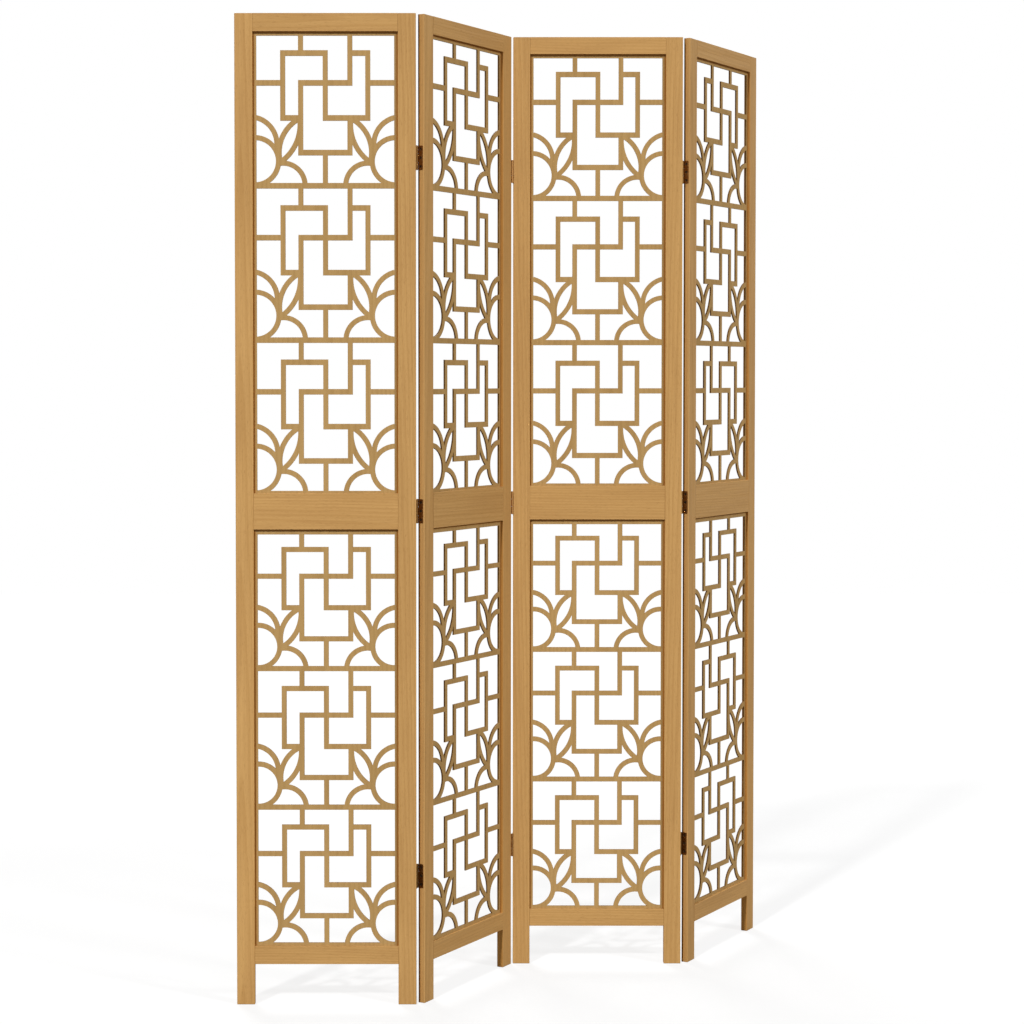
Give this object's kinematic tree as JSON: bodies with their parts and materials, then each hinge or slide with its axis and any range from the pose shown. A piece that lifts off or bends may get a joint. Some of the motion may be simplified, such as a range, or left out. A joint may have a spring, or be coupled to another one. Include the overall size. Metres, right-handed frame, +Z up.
{
  "type": "folding jali screen",
  "caption": "Free-standing folding room screen: hinged wooden panels framing pierced jali lattice sheets with interlocking bars and half flowers.",
  "frame": {"origin": "middle of the standing screen's footprint, on the floor", "axes": "+Z up, the screen faces -Y with its first panel square to Y, and the panels follow each other towards +X"},
  "size_m": [0.9298, 0.5428, 1.65],
  "materials": {
    "frame_wood": "satin lacquered honey-brown wood",
    "lattice_wood": "satin lacquered honey-brown board",
    "dowel_wood": "plain beech",
    "hinge_bronze": "dark bronzed steel",
    "pin_steel": "bronzed steel",
    "screw_metal": "blackened steel"
  },
  "bodies": {
    "panel_1": {"panel_1_left_stile": "frame_wood", "panel_1_right_stile": "frame_wood", "panel_1_top_rail": "frame_wood", "panel_1_mid_rail": "frame_wood", "panel_1_bottom_rail": "frame_wood", "panel_1_upper_lattice": "lattice_wood", "panel_1_lower_lattice": "lattice_wood", "panel_1_dowels": "dowel_wood", "panel_1_hinge_screws": "screw_metal", "hinge_12_top_left_leaf": "hinge_bronze", "hinge_12_middle_left_leaf": "hinge_bronze", "hinge_12_bottom_left_leaf": "hinge_bronze", "hinge_12_pins": "pin_steel"},
    "panel_2": {"panel_2_left_stile": "frame_wood", "panel_2_right_stile": "frame_wood", "panel_2_top_rail": "frame_wood", "panel_2_mid_rail": "frame_wood", "panel_2_bottom_rail": "frame_wood", "panel_2_upper_lattice": "lattice_wood", "panel_2_lower_lattice": "lattice_wood", "panel_2_dowels": "dowel_wood", "panel_2_hinge_screws": "screw_metal", "hinge_23_top_left_leaf": "hinge_bronze", "hinge_23_middle_left_leaf": "hinge_bronze", "hinge_23_bottom_left_leaf": "hinge_bronze", "hinge_23_pins": "pin_steel", "hinge_12_top_right_leaf": "hinge_bronze", "hinge_12_middle_right_leaf": "hinge_bronze", "hinge_12_bottom_right_leaf": "hinge_bronze"},
    "panel_3": {"panel_3_left_stile": "frame_wood", "panel_3_right_stile": "frame_wood", "panel_3_top_rail": "frame_wood", "panel_3_mid_rail": "frame_wood", "panel_3_bottom_rail": "frame_wood", "panel_3_upper_lattice": "lattice_wood", "panel_3_lower_lattice": "lattice_wood", "panel_3_dowels": "dowel_wood", "panel_3_hinge_screws": "screw_metal", "hinge_34_top_left_leaf": "hinge_bronze", "hinge_34_middle_left_leaf": "hinge_bronze", "hinge_34_bottom_left_leaf": "hinge_bronze", "hinge_34_pins": "pin_steel", "hinge_23_top_right_leaf": "hinge_bronze", "hinge_23_middle_right_leaf": "hinge_bronze", "hinge_23_bottom_right_leaf": "hinge_bronze"},
    "panel_4": {"panel_4_left_stile": "frame_wood", "panel_4_right_stile": "frame_wood", "panel_4_top_rail": "frame_wood", "panel_4_mid_rail": "frame_wood", "panel_4_bottom_rail": "frame_wood", "panel_4_upper_lattice": "lattice_wood", "panel_4_lower_lattice": "lattice_wood", "panel_4_dowels": "dowel_wood", "panel_4_hinge_screws": "screw_metal", "hinge_34_top_right_leaf": "hinge_bronze", "hinge_34_middle_right_leaf": "hinge_bronze", "hinge_34_bottom_right_leaf": "hinge_bronze"}
  },
  "joints": [
    {"name": "fold_12", "type": "hinge", "parent": "panel_1", "child": "panel_2", "pos_m": [-0.16342, -0.25836, 0.826], "axis": [0, 0, 1], "range_deg": [-60, 120]},
    {"name": "fold_23", "type": "hinge", "parent": "panel_2", "child": "panel_3", "pos_m": [0.0002, -0.00295, 0.826], "axis": [0, 0, -1], "range_deg": [-60, 120]},
    {"name": "fold_34", "type": "hinge", "parent": "panel_3", "child": "panel_4", "pos_m": [0.3032, 0.01105, 0.826], "axis": [0, 0, 1], "range_deg": [-60, 120]}
  ]
}
